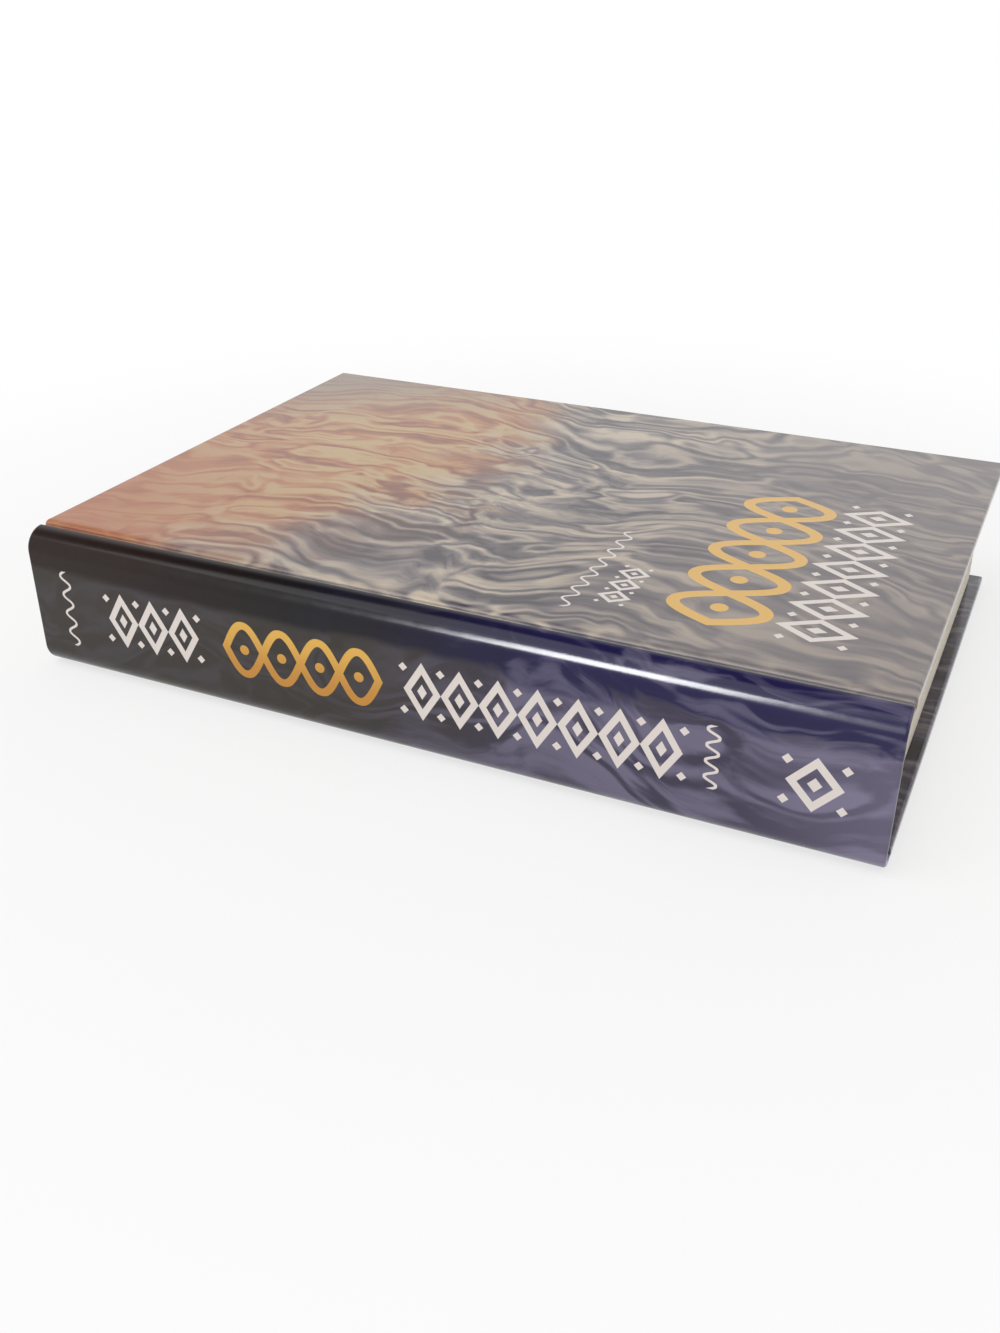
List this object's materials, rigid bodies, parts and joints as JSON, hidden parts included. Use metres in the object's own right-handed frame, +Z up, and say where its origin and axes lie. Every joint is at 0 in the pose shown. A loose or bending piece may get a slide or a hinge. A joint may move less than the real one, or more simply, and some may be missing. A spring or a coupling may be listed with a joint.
{
  "type": "hardback book",
  "caption": "Case-bound book lying closed on its back cover, with a flat round-shouldered spine and two covers that open on their hinges.",
  "frame": {"origin": "under the middle of the closed book, on the plane that its back cover lies on", "axes": "+X along the spine from head to tail, +Y from spine to fore-edge, +Z up through the pages from back cover to front cover"},
  "size_m": [0.217, 0.154, 0.038],
  "materials": {
    "pages": "matte",
    "endpaper": "matte",
    "band": "satin",
    "cloth": "matte",
    "kraft": "matte",
    "greyboard": "matte",
    "spine_print": "gloss",
    "front_print": "gloss",
    "back_print": "gloss"
  },
  "bodies": {
    "book_block": {"text_block": "pages", "front_flyleaf": "endpaper", "back_flyleaf": "endpaper", "headband": "band", "tailband": "band", "spine_cloth": "cloth", "spine_lining": "kraft", "spine_board": "greyboard", "spine_covering": "spine_print"},
    "front_cover": {"front_board": "greyboard", "front_covering": "front_print", "front_pastedown": "endpaper", "front_hinge_cloth": "cloth"},
    "back_cover": {"back_board": "greyboard", "back_covering": "back_print", "back_pastedown": "endpaper", "back_hinge_cloth": "cloth"}
  },
  "joints": [
    {"name": "front_cover_hinge", "type": "hinge", "parent": "book_block", "child": "front_cover", "pos_m": [0, -0.0704, 0.038], "axis": [1, 0, 0], "range_deg": [0, 180]},
    {"name": "back_cover_hinge", "type": "hinge", "parent": "book_block", "child": "back_cover", "pos_m": [0, -0.0704, 0], "axis": [-1, 0, 0], "range_deg": [0, 180]}
  ]
}
